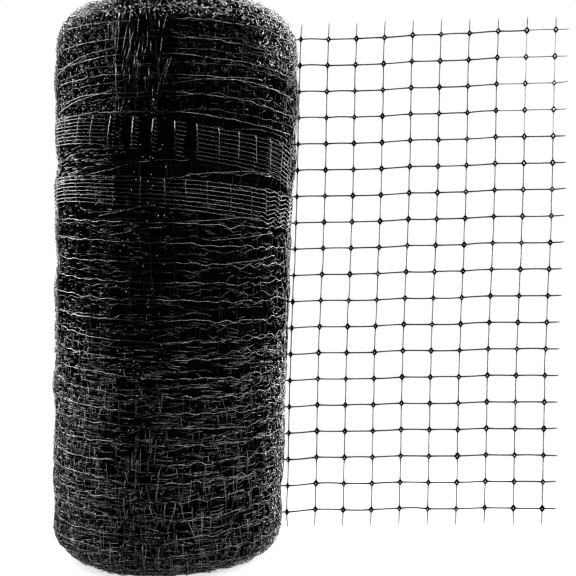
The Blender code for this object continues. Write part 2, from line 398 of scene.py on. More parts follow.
def make_inner_turns():
    rng = default_rng(7)
    angle = np.arange(INNER_AROUND) * TAU / INNER_AROUND
    along = np.linspace(0, roll.length, INNER_ALONG + 2)[1:-1]
    crown = ease((along - roll.along_at(330 * MM)) / (40 * MM))
    foot = 1 - ease((along - roll.along_at(8 * MM)) / (30 * MM))
    depth = INNER_DEPTH + (INNER_CROWN_DEPTH - INNER_DEPTH) * crown + (INNER_FOOT_DEPTH - INNER_DEPTH) * foot
    uneven = Waves(rng, 14, 9, 60.0, 0.25 * MM)
    a, s = np.meshgrid(angle, along)
    points, _ = roll.at(a, s, depth[:, None] + uneven(a, s))
    low, high = points[0].mean(axis=0), points[-1].mean(axis=0)
    index = np.arange(points.shape[0] * INNER_AROUND).reshape(-1, INNER_AROUND)
    right = np.roll(index, -1, axis=1)
    quads = np.stack([index[:-1], right[:-1], right[1:], index[1:]], axis=-1)
    last = index.size
    foot = np.stack([np.full(INNER_AROUND, last), right[0], index[0]], axis=-1)
    crown_faces = np.stack([np.full(INNER_AROUND, last + 1), index[-1], right[-1]], axis=-1)
    body = Strands()
    body.add(np.concatenate([points.reshape(-1, 3), [low, high]]), [quads, foot, crown_faces])
    packed_turns("packed_turns")
    piece = body.build("inner_turns", "packed_turns")
    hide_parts("roll")


# ---- the turns of net
LEVEL_WIDTH = 0.60 * MM
UPRIGHT_WIDTH = 0.44 * MM
LEVEL_PIECES = 5  # pieces of a level strand between two knots
UPRIGHT_PIECES = 3
KNOTS = (1.1 * MM, 1.2 * MM, 1.0 * MM)  # width, length and height
# how wide level strands are drawn round the roll: degrees, and shares of LEVEL_WIDTH
DRAWN_WIDTHS = (
    (-180, -110, -88, -72, -58, -46, -36, -24, -12, 0, 43, 60, 75, 90, 107, 180),
    (1.0, 1.0, 0.50, 0.42, 0.50, 0.95, 1.30, 1.35, 1.1, 1.0, 1.0, 0.78, 0.58, 0.78, 1.0, 1.0),
)
FIRST_ROW = 14 * MM  # from the foot's middle along the outline
LAST_ROW = 10 * MM  # from the crown's middle


def round_front(angle, left, middle, right, edge=None):
    """A value at the roll's left edge, at its front, on its right and at its right edge, and even behind."""
    edge = right if edge is None else edge
    behind = (left + edge) / 2
    marks = (-180.0, *MARKS, 180.0)
    return np.interp(from_front(angle), marks, (behind, left, middle, right, edge, behind))


KINK_ZONE = (42.0, 95.0)  # from, to in degrees: level strands here run in short zigzags
KINK_HEIGHTS = (110 * MM, 234 * MM)
KINK_SIZE = 0.8 * MM
KINK_LENGTH = 15 * MM


def kinked(angle, along):
    """How far a level strand's zigzags take it along the outline."""
    low, high = (roll.along_at(z) for z in KINK_HEIGHTS)
    share = within(from_front(angle), *KINK_ZONE, 8) * within(along, low, high, 30 * MM)
    return KINK_SIZE * share * zigzag(angle * ROLL_RADIUS / KINK_LENGTH + along / (90 * MM))


def pressed(angle, along):
    """How much deeper a turn lies where one of the two tight bands covers it."""
    covered = 0.0
    for number, (rows, pitch) in enumerate(band[3:5] for band in BANDS):
        top = band_top(number, angle)
        covered = covered + within(along, top - rows * pitch * MM, top, 2 * MM)
    return BAND_PRESS * covered


def drawn_out(values, pieces, bow):
    """Values in pieces between each two that are given, bowing between them, without the last one given."""
    share = np.arange(pieces) / pieces
    points = values[:, :-1, None] * (1 - share) + values[:, 1:, None] * share + bow * np.sin(PI * share)
    return points.reshape(len(values), -1)


class Turn:
    """One turn of net: a grid of knots, (rows, uprights), each with its angle, distance along and depth.

    row_at gives the rows' distances along the outline at the uprights' angles. Slack scales how uneven the
    turn lies, and it grows towards both ends of the roll.
    """

    def __init__(self, rng, depth, row_at, uprights, slack, thickness=1.0, sides=3, kinks=0.0):
        self.rng, self.thickness, self.sides = rng, thickness, sides
        angle = ((np.arange(uprights) + rng.random()) * TAU / uprights)[None, :]
        rows = row_at(angle)
        angle = angle + np.zeros((len(rows), 1))
        high = 1.5 * ease((rows - SIDE_HIGH) / (25 * MM))
        low = 0.8 * ease((SIDE_LOW - rows) / (25 * MM))
        self.loose = loose = slack * (1 + high + low)
        self.kinks = kinks
        self.ripple = Waves(rng, 30, 48, 25.0, 0.45 * MM, least=14)
        sway = Waves(rng, 8, 3, 6.0, 2.2 * MM)
        wander = Waves(rng, 8, 3, 9.0, 3.0 * MM)
        heave = Waves(rng, 12, 8, 30.0, 0.45 * MM)
        drift = loose * (wander(angle, rows) + rng.normal(0, 1.1 * MM, angle.shape))
        self.angle = angle + drift / ROLL_RADIUS
        self.along = rows + loose * (sway(angle, rows) + rng.normal(0, 0.6 * MM, angle.shape))
        self.along = np.clip(self.along, 6 * MM, roll.length - 3 * MM)
        self.depth = depth + loose * (heave(angle, rows) + rng.normal(0, 0.3 * MM, angle.shape))

    def bows(self, scale, size=0.4 * MM):
        """How far each piece of strand bows between its knots."""
        return self.rng.normal(0, size, (*scale.shape, 1)) * scale[..., None]

    def levels(self, strands, chosen=slice(None)):
        """The level strands of the chosen rows."""

        def between(values, bow, full_turn=0.0):
            values = values[chosen]
            return drawn_out(np.append(values, values[:, :1] + full_turn, axis=1), LEVEL_PIECES, bow)

        loose = self.loose[chosen]
        angle = between(self.angle, 0.0, TAU)
        along = between(self.along, self.bows(loose))
        depth = between(self.depth, self.bows(loose))
        calm = 1 - 0.75 * ease((along - roll.along_at(240 * MM)) / (40 * MM))
        ripple = calm * round_front(angle, 0.5, 0.6, 1.4) * self.ripple(angle, along) + kinked(angle, along)
        along = along + self.kinks * (ripple + self.rng.normal(0, 0.12 * MM, along.shape))
        depth = depth + self.kinks * self.rng.normal(0, 0.15 * MM, along.shape) + pressed(angle, along)
        width = LEVEL_WIDTH * self.thickness * np.interp(from_front(angle), *DRAWN_WIDTHS)
        strands.wind(self.rng, angle, along, depth, width, self.sides, closed=True)

    def uprights(self, strands, sink):
        """The uprights, sunk under the level strands by a distance."""

        def between(values, bow):
            return np.append(drawn_out(values.T, UPRIGHT_PIECES, bow), values[-1][:, None], axis=1)

        loose = self.loose[:-1].T
        angle = between(self.angle, self.bows(loose) / ROLL_RADIUS)
        along = between(self.along, 0.0)
        depth = between(self.depth + sink, self.bows(loose)) + pressed(angle, along)
        strands.wind(self.rng, angle, along, depth, UPRIGHT_WIDTH * self.thickness, self.sides)

    def knots(self, strands):
        place, out = roll.at(self.angle.ravel(), self.along.ravel(), self.depth.ravel())
        strands.knots(place, out, *KNOTS)


def even_rows(pitch, offset):
    """Rows at an even pitch, level round the roll."""
    along = np.arange(FIRST_ROW + offset * pitch, roll.length - LAST_ROW, pitch)
    return lambda angle: along[:, None] + 0 * angle


# the outermost turn's level strands: height at the left edge, at the front and on the right, mm
OUTER_ROWS = (
    (23, 20, 21), (35, 30, 32), (47, 41, 43), (58, 52, 54),
    (69, 63, 65), (80, 74, 76), (91, 85, 87), (102, 96, 96),
    (113, 105, 106), (124, 115, 116), (135, 127, 127), (147, 138, 139),
    (159, 149.5, 149.5), (168.6, 163.5, 160.5), (181.7, 176.5, 171.7), (193, 187, 183),
    (204.4, 199, 193.7), (217.5, 210.5, 205), (229, 222, 218.4), (291, 288.2, 287),
    (301, 300, 299.7), (312, 311.3, 311.7), (323.7, 323.3, 323.8), (335, 334.1, 334.3),
    (345, 345.2, 346.5),
)
MARKS = (-70.0, -5.0, 45.0, 75.0)  # where round_front takes its values, degrees
EDGE_RISE = 2.5  # the rows between these heights end higher at the right edge, mm
RISING_ROWS = (90.0, 240.0)
FOOT_ROWS = 9  # rows of the table that lie in the worn foot
FOOT_LIFT = 0.5 * MM  # how far these rows stand out over the others
SHOULDER_ROWS = 8
SHOULDER_PITCH = 9.5 * MM


def outer_rows(angle):
    """The table's rows, then rows over the shoulder at an even pitch."""
    rows = []
    for left, middle, right in OUTER_ROWS:
        rise = EDGE_RISE if RISING_ROWS[0] < right < RISING_ROWS[1] else 0.0
        rows.append(roll.along_at(round_front(angle, left, middle, right, right + rise) * MM))
    rows += [rows[-1] + k * SHOULDER_PITCH for k in range(1, SHOULDER_ROWS + 1)]
    return np.concatenate(rows)


TURNS = (
    # depth under the surface, mm; row pitch, mm; uprights; slack; strand thickness; plastic
    (1.1, 9.2, 36, 1.2, 0.90, "middle_strands"),
    (1.5, 10.6, 30, 1.3, 0.90, "faint_strands"),
)


def make_turns():
    turn = Turn(default_rng(100), 0.6 * MM, outer_rows, 36, 0.5, sides=4, kinks=1.0)
    turn.depth[:FOOT_ROWS] -= FOOT_LIFT
    foot, levels, uprights = Strands(), Strands(), Strands()
    turn.levels(foot, slice(None, FOOT_ROWS))
    turn.levels(levels, slice(FOOT_ROWS, None))
    turn.uprights(uprights, 0.6 * MM)
    turn.knots(uprights)
    foot.build("outer_turn_foot_levels", "outer_strands")
    levels.build("outer_turn_levels", "outer_strands")
    uprights.build("outer_turn_uprights", "faint_strands")
    for number, (depth, pitch, posts, slack, thickness, plastic) in enumerate(TURNS, 1):
        rng = default_rng(100 + number)
        rows = even_rows(pitch * MM, rng.random())
        turn = Turn(rng, depth * MM, rows, posts, slack, thickness, kinks=1.2)
        levels, uprights = Strands(), Strands()
        turn.levels(levels)
        turn.uprights(uprights, 0.5 * MM)
        if number == 1:
            turn.knots(uprights)
        levels.build(f"turn_{number}_levels", plastic)
        uprights.build(f"turn_{number}_uprights", "faint_strands")


# ---- the two bands where the net's edge lies folded tight
BANDS = (
    # name; height of its top at the front, mm, and how far it drops on the right, mm; rows; row pitch, mm;
    # depth, mm; how far it is drawn in between its posts, mm; post pitch and first post, degrees;
    # post width, mm; how far the posts' tops curl in, mm; plastic
    ("upper_band", 284.2, 8.2, 9, 2.45, 0.1, 1.4, 9.73, -3.0, 0.48, 0.9, "middle_strands"),
    ("lower_band", 248.2, 5.2, 8, 2.5, -0.1, 0.3, 10.29, 1.5, 0.24, 0.0, "band_strands"),
)
BAND_WIDTH = 0.45 * MM
BAND_STEPS = 360
BAND_TURNING = 0.1  # how unevenly its strands turn
BAND_PRESS = 1.3 * MM  # how far a band presses in the turns under it
SAG = (96.0, 42.0, (8.0, 0.0))  # where the bands sag: middle and half width, degrees; each band's sag, mm
ZIGZAG = (50.0, 110.0, 1.5 * MM)  # from, to in degrees; size
ZIGZAG_LENGTH = 14 * MM
ZIGZAG_SHARES = (0.15, 1.0)  # how much of it each band has
DRAWN_FROM = (-40.0, -5.0)  # degrees between which the drawing-in between posts sets in
# the upper band's rows sink in before each next post: degrees, and the share of a bay that shows
SHOWING = (
    (-30, -20, -11, -9, 0, 1, 12, 22, 32, 40),
    (1.0, 0.25, 0.15, 0.0, 0.0, 0.18, 0.38, 0.62, 0.80, 1.0),
)
SUNK = 2.6 * MM  # how deep the rest of it lies
KNOT_ON_POST = (0.8, 1.15)  # the knots on each band's posts, mm
POST_LEAN = 3.0 * MM  # how far the posts on the right lean
POST_REACH = 0.85  # share of the band that a post spans
POST_STEPS = 11
CLOSE_ROWS = (54.0, 128.0, 48)  # from, to in degrees, where more rows show; steps of each


def band_top(number, angle):
    """Distance along the outline of a band's top row."""
    top, drop = BANDS[number][1:3]
    middle, half_width, sizes = SAG
    sagging = sizes[number] * ease(1 - np.abs(from_front(angle) - middle) / half_width)
    return roll.along_at((top - drop * np.sin(angle - FRONT) - sagging) * MM)


def make_bands():
    for number, band in enumerate(BANDS):
        name, _, _, rows, pitch, depth, drawn, posts, first, post_width, curled, plastic = band
        rng = default_rng(200 + number)
        count = round(360 / posts)
        post = FRONT + np.radians(first) + np.arange(count) * TAU / count
        post = (post + rng.normal(0, 0.8 * MM, count) / ROLL_RADIUS)[:, None]

        angle = (np.arange(BAND_STEPS) * TAU / BAND_STEPS)[None, :]
        turned = from_front(angle)
        between = (angle - FRONT - math.radians(first)) / TAU * count % 1
        wave = Waves(rng, 10, 9, 4.0, 0.35 * MM)
        fold = Waves(rng, 16, 16, 12.0, 0.3 * MM)
        row = np.arange(rows)[:, None]
        spread = 1 + 0.15 * np.sin(angle - FRONT)
        start, stop, size = ZIGZAG
        folded = ease((turned - start) / 6) * ease((stop - turned) / 8)
        reach = (angle - FRONT - math.radians((start + stop) / 2)) * ROLL_RADIUS
        sharp = size * (0.5 + 0.5 * (row / (rows - 1))) * folded * zigzag(reach / ZIGZAG_LENGTH)
        along = band_top(number, angle) - row * pitch * spread * MM
        along = along + wave(angle, along) + sharp * ZIGZAG_SHARES[number]
        along = along + rng.normal(0, 0.12 * MM, along.shape)
        tight = ease((turned - DRAWN_FROM[0]) / (DRAWN_FROM[1] - DRAWN_FROM[0]))
        deep = (depth + drawn * tight * np.sin(PI * between**0.6)) * MM + fold(angle, along)
        if number == 0:
            sinking = ease((between - np.interp(turned, *SHOWING)) / 0.42)
            deep = deep + SUNK * sinking * (1 - ease((between - 0.93) / 0.07))
        deep = deep + rng.normal(0, 0.06 * MM, along.shape)
        strands = Strands()
        strands.wind(rng, angle, along, deep, BAND_WIDTH, 4, 1.0, BAND_TURNING, closed=True)
        strands.build(name, plastic)

        if number == 0:
            left, right, steps = CLOSE_ROWS
            turned = np.linspace(left, right, steps)[None, :]
            angle = FRONT + np.radians(turned)
            along = band_top(number, angle) - (row - 0.5) * pitch * 1.15 * MM
            along = along + rng.normal(0, 0.12 * MM, along.shape)
            ends = np.clip(1 - (turned - left) / 10, 0, 1) + np.clip(1 - (right - turned) / 10, 0, 1)
            deep = (depth + 0.2 + 2.0 * ends**2) * MM
            strands = Strands()
            strands.wind(rng, angle, along, deep, BAND_WIDTH, 4, 1.0, BAND_TURNING)
            strands.build(name + "_close_rows", "middle_strands")

        share = np.linspace(0, 1, POST_STEPS)
        top = band_top(number, post)
        slant = POST_LEAN * np.sin(post - FRONT)
        lean = post + (rng.normal(0, 0.6 * MM, post.shape) + slant) / ROLL_RADIUS * share
        along = top + 1.5 * MM - share * POST_REACH * ((rows - 1) * pitch + 2.5) * MM
        curl = curled * np.clip(1 - share / 0.3, 0, 1) ** 2 + 0.7 * np.clip((share - 0.5) / 0.5, 0, 1) ** 2
        deep = (depth - 0.3 + curl * rng.uniform(0.6, 1.3, post.shape)) * MM
        row = np.arange(rows)
        leaned = post + slant / ROLL_RADIUS * POST_REACH * row / (rows - 1)
        place, out = roll.at(leaned, top - row * pitch * MM, (depth - 0.45) * MM)
        knot = KNOT_ON_POST[number] * MM
        strands = Strands()
        strands.knots(place.reshape(-1, 3), out.reshape(-1, 3), knot, knot, 0.75 * knot)
        strands.wind(rng, lean, along, deep, post_width * MM, 6, turning=BAND_TURNING)
        strands.build(name + "_posts", "outer_strands")


# ---- single strands that cross the rows
CROSSINGS = (
    # points along the strand: degrees and height, mm
    ((-29, 253), (-19, 255.5), (-10, 258.6)),
    ((11, 249.7), (21, 252), (32, 253.6), (44, 255.1), (54, 253.3)),
    ((-24, 226.7), (-14, 229), (-6, 231.5)),
    ((-18, 214.9), (-4, 217.9)),
    ((15, 222.7), (27, 224.4), (41, 226.7), (50, 227.3), (56, 225.2)),
    ((6, 305.6), (16, 308), (32, 311.5), (44, 313.1)),
    ((28, 211.6), (44, 214.5), (58, 218)),
    ((37, 197.8), (51, 200.1), (61, 203.2)),
    ((-62, 296), (-44, 299.5), (-24, 302.5)),
    ((-66, 321), (-40, 326.5), (-22, 327.5)),
)
CROSSING_STEPS = 40
CROSSING_WIDTH = 0.48 * MM
CROSSING_TAIL = (6.0, 0.5)  # how far a strand runs on under the others: degrees, mm
MIRRORED = 180.0  # the same crossings once more, behind


def make_crossings():
    rng = default_rng(250)
    strands = Strands()
    for points in CROSSINGS:
        for half in (0.0, MIRRORED):
            marks = np.array(points, float)
            marks = np.concatenate([marks[:1] - CROSSING_TAIL, marks, marks[-1:] + CROSSING_TAIL])
            share = np.linspace(0, len(marks) - 1, CROSSING_STEPS)
            turned, height = (np.interp(share, np.arange(len(marks)), values) for values in marks.T)
            along = roll.along_at(height * MM) + np.cumsum(rng.normal(0, 0.10 * MM, CROSSING_STEPS))
            ends = np.clip(1 - np.minimum(share, len(marks) - 1 - share), 0, 1)
            deep = (0.1 + 2.2 * ends**2 + rng.normal(0, 0.08, CROSSING_STEPS)) * MM
            angle = FRONT + np.radians(turned + half)
            strands.wind(rng, angle, along, deep, CROSSING_WIDTH, 4, 0.75, 0.5)
    strands.build("crossing_strands", "outer_strands")


# ---- the inner turns' edges, a spiral on the crown
SPIRAL_PITCH = 4.8 * MM
SPIRAL_REACH = (5 * MM, 69 * MM)  # least and greatest radius
SPIRAL_STEP = 2.4 * MM
SPIRAL_STRANDS = 5
SPIRAL_SPREAD = 1.1 * MM  # how far the strands of one turn lie from its middle
SPIRAL_DEPTH = (0.0, 1.6 * MM)
SPIRAL_WIDTH = 0.50 * MM


def make_crown_spiral():
    rng = default_rng(270)
    strands = Strands()
    inner, outer = SPIRAL_REACH
    steps = int(PI * (outer**2 - inner**2) / SPIRAL_PITCH / SPIRAL_STEP)
    radius = np.sqrt(np.linspace(outer**2, inner**2, steps))
    angle = (outer - radius) / SPIRAL_PITCH * TAU
    middle = roll.length - radius + Waves(rng, 10, 6, 18.0, 1.5 * MM, least=1)(angle, -radius)
    for _ in range(SPIRAL_STRANDS):
        ripple = Waves(rng, 24, 26, 60.0, 0.75 * MM, least=3)
        heave = Waves(rng, 16, 14, 30.0, 0.65 * MM)
        along = middle + rng.uniform(-SPIRAL_SPREAD, SPIRAL_SPREAD)
        along = along + ripple(angle, along) + rng.normal(0, 0.2 * MM, steps)
        deep = rng.uniform(*SPIRAL_DEPTH) + heave(angle, along) + rng.normal(0, 0.15 * MM, steps)
        along = np.minimum(along, roll.length - 3 * MM)
        strands.wind(rng, angle, along, deep, SPIRAL_WIDTH)
    strands.build("crown_spiral", "crown_strands")


# ---- folds, loops and cut ends of crumpled mesh that show among the turns
UP = PI / 2
FRAGMENTS = (
    # name; count; from, to in height as reach_along takes it, mm, and how much they crowd low down (1 is
    # even); from, to in degrees; least and greatest depth and length, mm; width, mm; heading (0 is level),
    # and how far it strays from piece to piece and along a piece, radians; plastic
    ("left_side_levels", 2000, 95, 236, 1, -200, -22, 0.7, 2.4, 3, 9, 0.44, -0.08, 0.07, 0.06, "middle"),
    ("left_side_uprights", 700, 95, 236, 1, -200, -22, 0.8, 2.4, 2, 5, 0.4, UP, 0.15, 0.1, "middle"),
    ("left_gap_levels", 200, 250, 270, 1, -200, -25, -0.2, 1.3, 6, 18, 0.4, 0, 0.04, 0.02, "middle"),
    ("left_band_levels", 520, 236, 288, 1, -200, -25, 0.9, 1.7, 3, 9, 0.44, 0, 0.08, 0.06, "middle"),
    ("right_side_levels", 900, 95, 236, 1, -22, 160, 0.8, 2.4, 4, 12, 0.44, 0, 0.07, 0.1, "middle"),
    ("foot_levels", 2100, 3, 150, 1.5, -180, 180, 0.2, 2.0, 4, 12, 0.4, 0, 0.08, 0.05, "foot"),
    ("foot_bright_levels", 1800, 6, 145, 1.4, -180, 180, 0.1, 1.0, 4, 12, 0.44, 0, 0.04, 0.03, "outer"),
    ("foot_specks", 1800, 5, 125, 1.4, -180, 180, 0, 1.2, 1, 3, 0.44, 0, 1.5, 0.2, "outer"),
    ("foot_uprights", 1150, 3, 110, 2.4, -180, 180, 0, 1.6, 6, 18, 0.36, UP, 0.1, 0.03, "foot"),
    ("foot_slants", 150, 6, 48, 1.3, -180, 180, -0.3, 0.4, 10, 22, 0.36, UP, 0.26, 0.02, "foot"),
    ("foot_short_uprights", 1400, 8, 130, 1.9, -180, 180, 0.3, 2.0, 2, 6, 0.38, UP, 0.2, 0.08, "foot"),
    ("left_edge_uprights", 150, 10, 330, 1, -98, -66, 0.2, 1.0, 6, 24, 0.5, UP, 0.05, 0.05, "outer"),
    ("left_edge_line", 60, 6, 340, 1, -98, -84, -0.4, 0.1, 8, 24, 0.6, UP, 0.05, 0.05, "deep"),
    ("left_edge_loops", 800, 130, 350, 1, -98, -68, -0.4, 0.7, 1.5, 5, 0.46, UP, 0.5, 0.3, "outer"),
    ("left_foot_edge_loops", 350, 6, 130, 1, -100, -62, 0, 1.6, 1.5, 4, 0.46, UP, 0.8, 0.3, "outer"),
    ("right_edge_uprights", 90, 10, 300, 1, 66, 96, 0.5, 1.2, 6, 20, 0.46, UP, 0.06, 0.08, "outer"),
    ("right_edge_line", 90, 6, 340, 1, 78, 98, -0.4, 0.2, 8, 24, 0.6, UP, 0.05, 0.05, "deep"),
    ("right_foot_edge_loops", 450, 6, 130, 1, 58, 98, 0, 1.6, 1.5, 4, 0.46, UP, 0.8, 0.3, "crown"),
    ("left_shoulder_levels", 2200, 286, 354, 1, -200, -20, 0.4, 2.2, 1, 3.5, 0.52, 0.05, 0.3, 0.08, "outer"),
    ("left_shoulder_uprights", 1900, 286, 354, 1, -200, -20, 0.4, 2.2, 1, 3.5, 0.5, UP, 0.3, 0.08, "outer"),
    ("slack_uprights", 75, 286, 360, 1, -26, 2, 0, 1.0, 8, 28, 0.38, UP - 0.12, 0.08, 0.03, "outer"),
    ("right_edge_loops", 170, 290, 345, 1, 62, 112, -2.2, 0.5, 4, 12, 0.36, UP, 0.2, 0.1, "middle"),
    ("right_shoulder_levels", 500, 286, 352, 1, -20, 160, 0.8, 2.4, 3, 8, 0.4, 0, 0.08, 0.08, "middle"),
    ("right_shoulder_uprights", 350, 286, 352, 1, -20, 160, 0.8, 2.4, 2, 5, 0.36, UP, 0.25, 0.15, "middle"),
    ("right_shoulder_loops", 900, 322, 354, 1, 44, 170, -0.3, 1.8, 2, 6, 0.36, 0, 1.5, 0.4, "crown"),
    ("right_shoulder_arcs", 260, 316, 354, 1, 12, 60, 0.5, 1.8, 2, 6, 0.4, 0, 1.5, 0.45, "middle"),
    ("left_shoulder_loops", 1100, 335, 360, 1, -190, -20, -0.6, 1.4, 1, 4, 0.5, 0, 1.5, 0.3, "outer"),
    ("crown_loops", 5300, 347, 383, 1, -180, 180, -0.6, 1.8, 1.3, 4.2, 0.5, 0, 1.5, 0.3, "crown"),
    ("left_foot_levels", 160, 8, 140, 1.2, -74, -28, 0, 0.8, 6, 18, 0.46, -0.05, 0.02, 0.02, "outer"),
    ("right_foot_glints", 170, 6, 150, 1, 68, 84, -0.4, 0.3, 2, 7, 0.46, UP, 0.2, 0.1, "crown"),
    ("front_specks", 120, 95, 300, 1, -26, 4, -0.4, 0.2, 0.8, 1.8, 0.4, UP, 0.6, 0.2, "crown"),
    ("right_side_edge_loops", 380, 95, 330, 1, 62, 96, -0.2, 0.8, 1.5, 5, 0.44, UP, 0.7, 0.3, "outer"),
    ("left_foot_uprights", 620, 6, 150, 1.3, -82, -26, -0.1, 0.8, 3, 10, 0.42, UP, 0.08, 0.04, "outer"),
    ("crown_middle_loops", 750, 383, 431, 1, -180, 180, -0.2, 1.8, 1.3, 4.2, 0.46, 0, 1.5, 0.3, "crown"),
    ("crown_cross_strands", 500, 381, 431, 1, -180, 180, 0.2, 1.8, 2, 6, 0.42, UP, 0.4, 0.2, "foot"),
)
SHORT_FRAGMENT = 9  # up to this long, in mm, a fragment has 2 steps, and else 3
CROWN_RIM = 366.0  # height where the crown turns flat, mm


def reach_along(height):
    """Distance along the outline at a height in mm; past the crown's rim each mm more is one further in."""
    return roll.along_at(min(height, CROWN_RIM) * MM) + max(height - CROWN_RIM, 0.0) * MM


def make_fragments():
    for number, row in enumerate(FRAGMENTS, 300):
        name, count, low, high, crowd, left, right, *sizes, way, stray, bend, plastic = row
        shallow, deep, short, long, width = sizes
        rng = default_rng(number)
        low, high = reach_along(low), reach_along(high)
        start = low + (high - low) * rng.random(count * 3) ** crowd
        keep = rng.random(count * 3) < np.maximum(roll.radius_at(start), 6 * MM) / ROLL_RADIUS
        start = start[keep][:count]
        count = len(start)
        angle, along = [FRONT + np.radians(rng.uniform(left, right, count))], [start]
        heading = way + rng.normal(0, stray, count)
        turn = rng.normal(0, bend, count)
        steps = 2 if long <= SHORT_FRAGMENT else 3
        step = rng.uniform(short, long, count) * MM / steps
        for _ in range(steps):
            heading = heading + turn + rng.normal(0, bend, count)
            radius = np.maximum(roll.radius_at(along[-1]), 8 * MM)
            angle.append(angle[-1] + np.cos(heading) * step / radius)
            along.append(np.clip(along[-1] + np.sin(heading) * step, 4 * MM, roll.length - 2 * MM))
        share = np.linspace(0, 1, steps + 1)
        rise = rng.uniform(-0.5, 1.0, count)[:, None] * MM * np.sin(PI * share)
        depth = rng.uniform(shallow, deep, count)[:, None] * MM - rise
        strands = Strands()
        strands.wind(rng, np.array(angle).T, np.array(along).T, depth, width * MM)
        strands.build(name, plastic + "_strands")


# ---- the loose end, as in the part's source
ROW_COUNT = 19
FREE_COLUMNS = 10
WRAPPED_COLUMNS = 1
ROW_PITCH = 18.44 * MM
COLUMN_PITCH = 19.66 * MM
LOWEST_ROW = 25.4 * MM
ROW_CLIMB = 0.0241
COLUMN_LEAN = 0.0311
SHEET_YAW = math.radians(4.1)
SHEET_OFFSET = 17.8 * MM
BEND_RADIUS = 20 * MM
FIRST_UPRIGHT = -9.9 * MM
CAD_THICKNESS = 1.0 * MM
SEAT_GAP = 0.3 * MM
CUT_TOP = 370 * MM
BOTTOM_STUB = 11 * MM
FREE_STUB = 9 * MM
WRAPPED_STUB = 5 * MM
SWAY = 0.5 * MM
SWAY_LENGTH = 210 * MM
KNOT_STEPS = (0.3, -0.3, 0.1, -0.3, -0.35, 0.45, 0.0, -0.1, 0.6, 0.15, -0.2)
FIRST_FREE_SHIFT = -0.9 * MM  # how far the first free column lies from its even place
FAN = (0.030, 0.013)  # the first two columns' rise over the camera's height, or drop under it, for each metre
CAD_RADIUS = 78.6 * MM
CAD_TAPER = 0.0157
CAD_LAYER_STEP = 1.6 * MM
CAD_STEP_ANGLE = math.radians(30)


def net_point(along, z, out):
    """The loose end's middle face: distance along it from its bend, height, and height above that face."""
    along, z, out = np.broadcast_arrays(along, z, out)
    radius = CAD_RADIUS + CAD_TAPER * (z - ROLL_HEIGHT / 2)
    radius = radius + CAD_LAYER_STEP * CAD_STEP_ANGLE / TAU + SEAT_GAP + CAD_THICKNESS / 2
    reach = radius + BEND_RADIUS
    leave = np.arcsin((SHEET_OFFSET + BEND_RADIUS) / reach)
    bend = PI / 2 - leave
    edge = reach * np.cos(leave)
    turned = np.clip(-along / BEND_RADIUS, 0, bend)
    wrapped = np.maximum(-along - BEND_RADIUS * bend, 0)
    facing = np.where(wrapped > 0, leave + wrapped / radius, PI / 2 - turned)
    x = np.where(along >= 0, edge + along, edge - BEND_RADIUS * np.sin(turned))
    y = SHEET_OFFSET + BEND_RADIUS * (1 - np.cos(turned))
    x = np.where(wrapped > 0, radius * np.cos(facing), x)
    y = np.where(wrapped > 0, radius * np.sin(facing), y)
    x = x + out * np.cos(facing)
    y = y + out * np.sin(facing)
    c, s = math.cos(SHEET_YAW), math.sin(SHEET_YAW)
    return np.stack([ROLL_LEAN * z + x * c + y * s, y * c - x * s, z], axis=-1)


def edge_lean():
    reach = CAD_RADIUS + BEND_RADIUS
    across = math.sqrt(reach**2 - (SHEET_OFFSET + BEND_RADIUS) ** 2)
    return ROLL_LEAN + CAD_TAPER * reach / across


def knot_grid():
    """Distances along the net and heights of all knots, (2, rows, columns); column 0 lies on the roll."""
    column = np.arange(-WRAPPED_COLUMNS, FREE_COLUMNS)
    row = np.arange(ROW_COUNT)[:, None]
    z = LOWEST_ROW + row * ROW_PITCH + ROW_CLIMB * column * COLUMN_PITCH
    z = z + np.array(KNOT_STEPS) * MM
    z[:, :2] += np.array(FAN) * (z[:, :2] - CAMERA_PLACE[2])
    along = FIRST_UPRIGHT + column * COLUMN_PITCH
    along = along + (COLUMN_LEAN - edge_lean()) * (z - ROLL_HEIGHT / 2)
    along = along + SWAY * np.sin(TAU * (z - ROLL_HEIGHT / 2) / SWAY_LENGTH)
    along[:, 1] += FIRST_FREE_SHIFT
    return np.stack([along, z])


STRAND_SIDES = 8
STRAND_PIECES = 7
LEVEL_SIZE = (0.79 * MM, 0.90 * MM)  # as seen from the front, and through the net
UPRIGHT_SIZE = (0.56 * MM, 0.70 * MM)
KNOT_SIZE = (3.1 * MM, 4.3 * MM, 1.6 * MM)
LEVEL_SWELL = (0.8, 5)  # how much thicker a strand is at a knot, and how close to the knot that is
UPRIGHT_SWELL = (1.5, 5)
STUB_CURL = 0.6 * MM
# the strands at the upper right corner, from these rows up and these columns on, are thin and coloured pale:
# painted sheen from the light on the right
SHEEN_LEVELS = (15, 8)
SHEEN_UPRIGHTS = (14, 9)
SHEEN_THIN = 0.72
WIDE_HIGHLIGHTS = (11, 8)  # the knots from this row up and past this column have wider pale faces, larger painted highlights


def sheet_lines(start, end):
    """Points along strands from one (along, z) to another, and each point's share of the way."""
    share = np.linspace(0, 1, STRAND_PIECES + 1)
    start, end = (np.reshape(place, (2, -1, 1)) for place in (start, end))
    along, z = start * (1 - share) + end * share
    return along, z, share


def on_sheet(along, z, out):
    """Points of the loose end, and the directions out of it there."""
    line = net_point(along, z, out)
    return line, unit(net_point(along, z, out + 1 * MM) - line)


